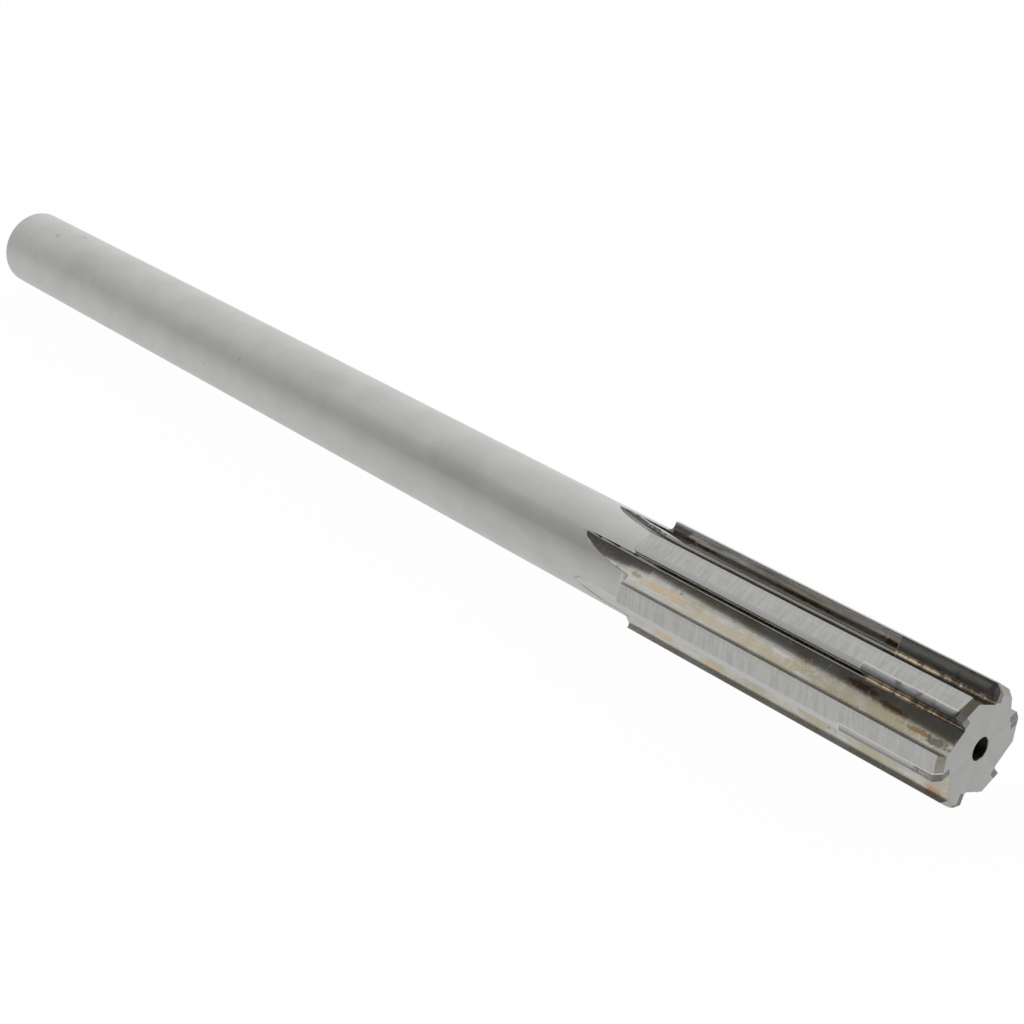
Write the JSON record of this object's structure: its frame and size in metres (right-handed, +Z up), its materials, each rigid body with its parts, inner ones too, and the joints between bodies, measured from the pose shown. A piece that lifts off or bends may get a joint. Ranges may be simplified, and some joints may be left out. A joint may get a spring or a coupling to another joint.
{
  "type": "machine reamer",
  "caption": "Straight-shank chucking reamer with straight flutes and brazed carbide tips, for finishing a drilled hole to size in a lathe or mill.",
  "frame": {"origin": "centre of the shank's end face, on the tool's axis", "axes": "+X along the tool's axis from the shank's end towards the cutting end; +Z up, out of the middle of one flute, with the tool lying on the two lands beside the opposite flute; Y by the right hand"},
  "size_m": [0.2286, 0.0174, 0.0166],
  "materials": {
    "steel": "ground steel with rust specks and stains in the flutes",
    "carbide": "ground tungsten carbide",
    "braze": "dull silver-brass braze"
  },
  "bodies": {
    "root": {"reamer_body": "steel", "carbide_tip_1": "carbide", "carbide_tip_2": "carbide", "carbide_tip_3": "carbide", "carbide_tip_4": "carbide", "carbide_tip_5": "carbide", "carbide_tip_6": "carbide", "braze_joint_1": "braze", "braze_joint_2": "braze", "braze_joint_3": "braze", "braze_joint_4": "braze", "braze_joint_5": "braze", "braze_joint_6": "braze"}
  },
  "joints": []
}
